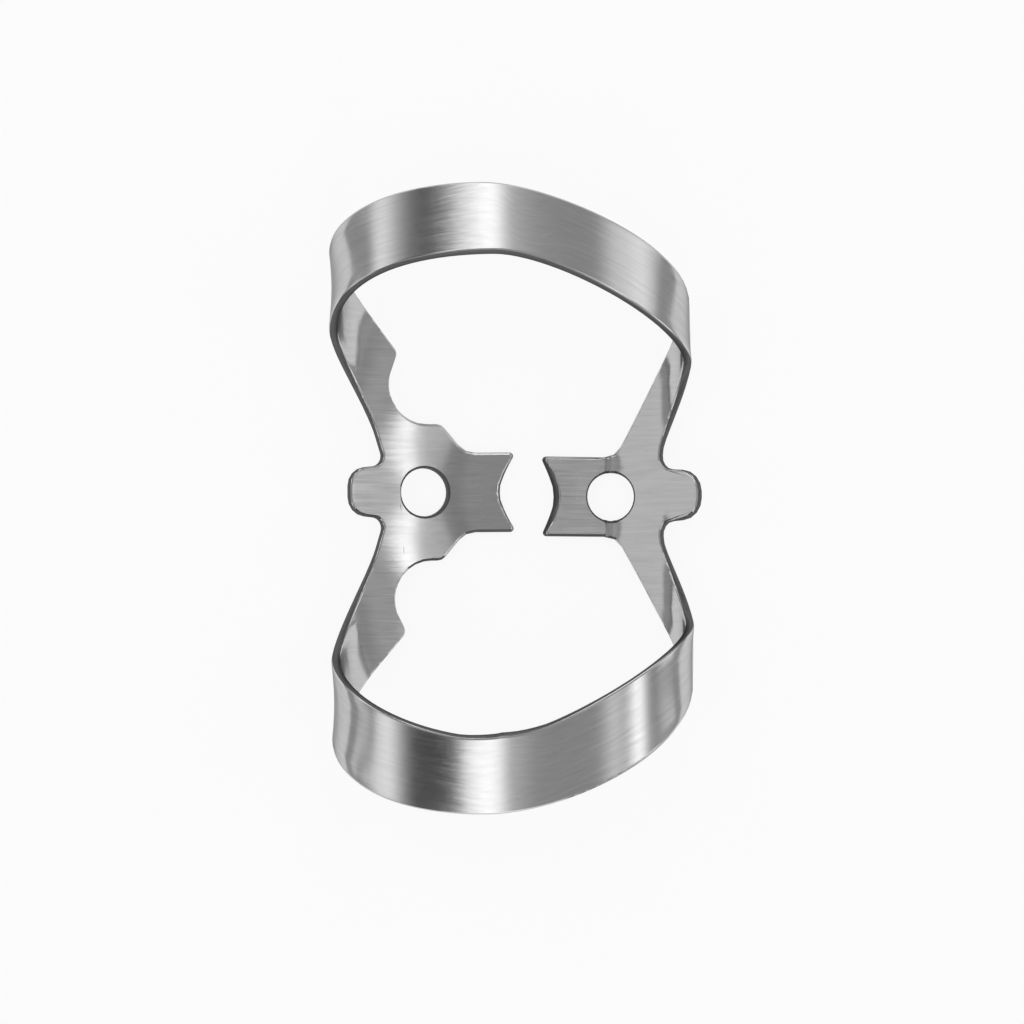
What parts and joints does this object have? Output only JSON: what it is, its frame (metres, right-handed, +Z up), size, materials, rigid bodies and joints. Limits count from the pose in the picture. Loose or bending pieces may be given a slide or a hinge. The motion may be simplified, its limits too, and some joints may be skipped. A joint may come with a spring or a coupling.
{
  "type": "rubber dam clamp",
  "caption": "Stamped and bent sheet steel dental clamp with a bow over each side, facing jaws with forceps holes and hollow tips, and tabs at the back of the jaws.",
  "frame": {"origin": "centre of the bounding box in X and Y, at the height of the surface the jaws stand on", "axes": "+X from the left jaw to the right jaw, +Y towards the back bow, +Z up towards the bows"},
  "size_m": [0.0194, 0.0326, 0.0094],
  "materials": {
    "spring_steel": "brushed, with tumbled edges"
  },
  "bodies": {
    "root": {"clamp": "spring_steel"}
  },
  "joints": []
}
